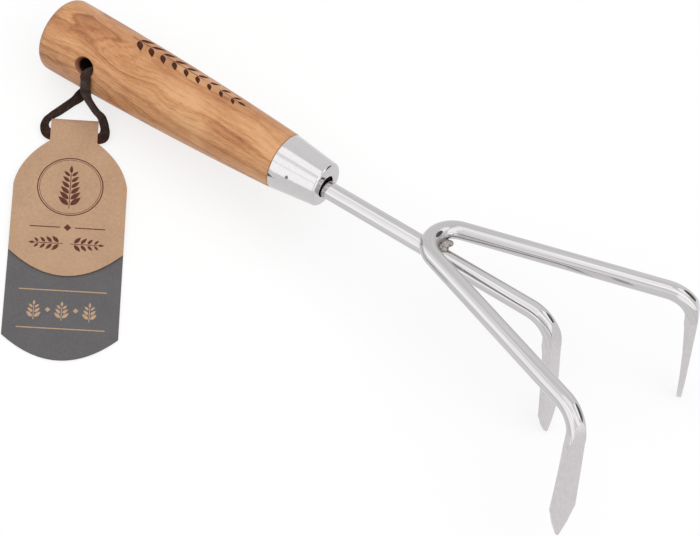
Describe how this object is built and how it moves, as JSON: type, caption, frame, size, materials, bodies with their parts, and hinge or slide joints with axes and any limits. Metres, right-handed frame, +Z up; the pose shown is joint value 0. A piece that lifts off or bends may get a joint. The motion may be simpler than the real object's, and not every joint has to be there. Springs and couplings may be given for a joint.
{
  "type": "hand cultivator",
  "caption": "Garden hand cultivator with a turned wooden handle, tapered metal ferrule, bent round-rod prongs with spear-point tines, and a folded card tag on a flat lace.",
  "frame": {"origin": "middle of the tool's own box (without lace and tag), at the level of the table on which it rests", "axes": "+X from the butt of the handle to the tines, level with the table; +Z up; the tag lies on the -Y side"},
  "size_m": [0.3218, 0.1757, 0.0849],
  "materials": {
    "ash_wood": "oiled, semi-gloss",
    "polished_steel": "polished stainless steel",
    "dark_lace": "matt, napped",
    "kraft_card": "uncoated kraft card",
    "grey_card": "matt printed card"
  },
  "bodies": {
    "tool": {"handle_grip": "ash_wood", "ferrule": "polished_steel", "ferrule_brad": "polished_steel", "middle_prong": "polished_steel", "outer_prongs": "polished_steel", "weld_bead_rear": "polished_steel", "weld_bead_front": "polished_steel", "lace": "dark_lace", "lace_knot": "dark_lace", "tag_back_leaf": "grey_card"},
    "front_leaf": {"tag_front_leaf": "kraft_card"}
  },
  "joints": [
    {"name": "front_leaf_fold", "type": "hinge", "parent": "tool", "child": "front_leaf", "pos_m": [-0.12809, -0.01824, 0.0035], "axis": [-0.81, -0.5864, 0], "range_deg": [0, 80]}
  ]
}
